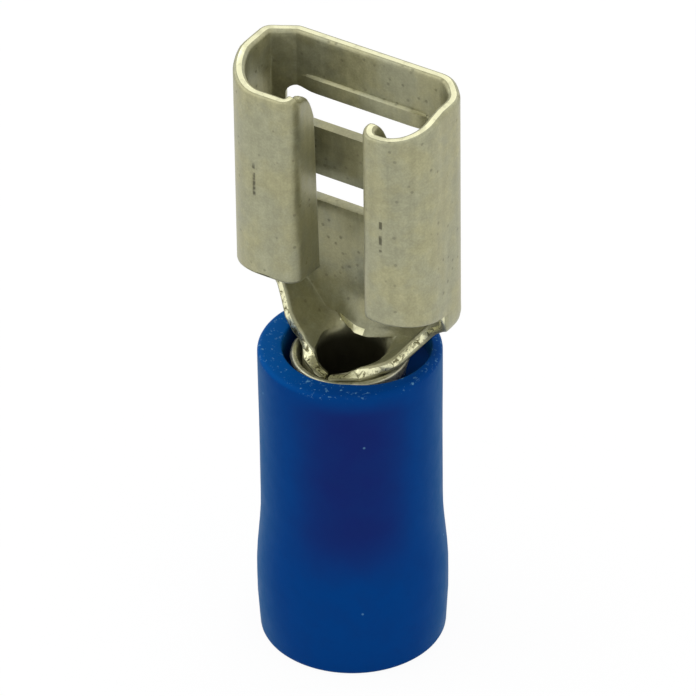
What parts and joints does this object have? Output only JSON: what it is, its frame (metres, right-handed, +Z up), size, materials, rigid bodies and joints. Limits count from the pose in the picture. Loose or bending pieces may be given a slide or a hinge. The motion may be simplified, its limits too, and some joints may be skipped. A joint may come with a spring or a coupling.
{
  "type": "female spade terminal",
  "caption": "Insulated push-on female spade terminal with rolled wings, windowed floor, flared neck, crimp barrel and a blue vinyl sleeve.",
  "frame": {"origin": "centre of the insulating sleeve's lower end, where the wire goes in", "axes": "+Z up the barrel to the tab mouth, +Y from the slot between the wings to the receptacle's floor, +X to the right as seen from the slot"},
  "size_m": [0.0076, 0.0064, 0.0216],
  "materials": {
    "tinned_brass": "satin tin plating over brass",
    "tinned_support": "satin tin plating",
    "blue_vinyl": "semi-gloss blue vinyl"
  },
  "bodies": {
    "root": {"terminal": "tinned_brass", "support_sleeve": "tinned_support", "insulating_sleeve": "blue_vinyl"}
  },
  "joints": []
}
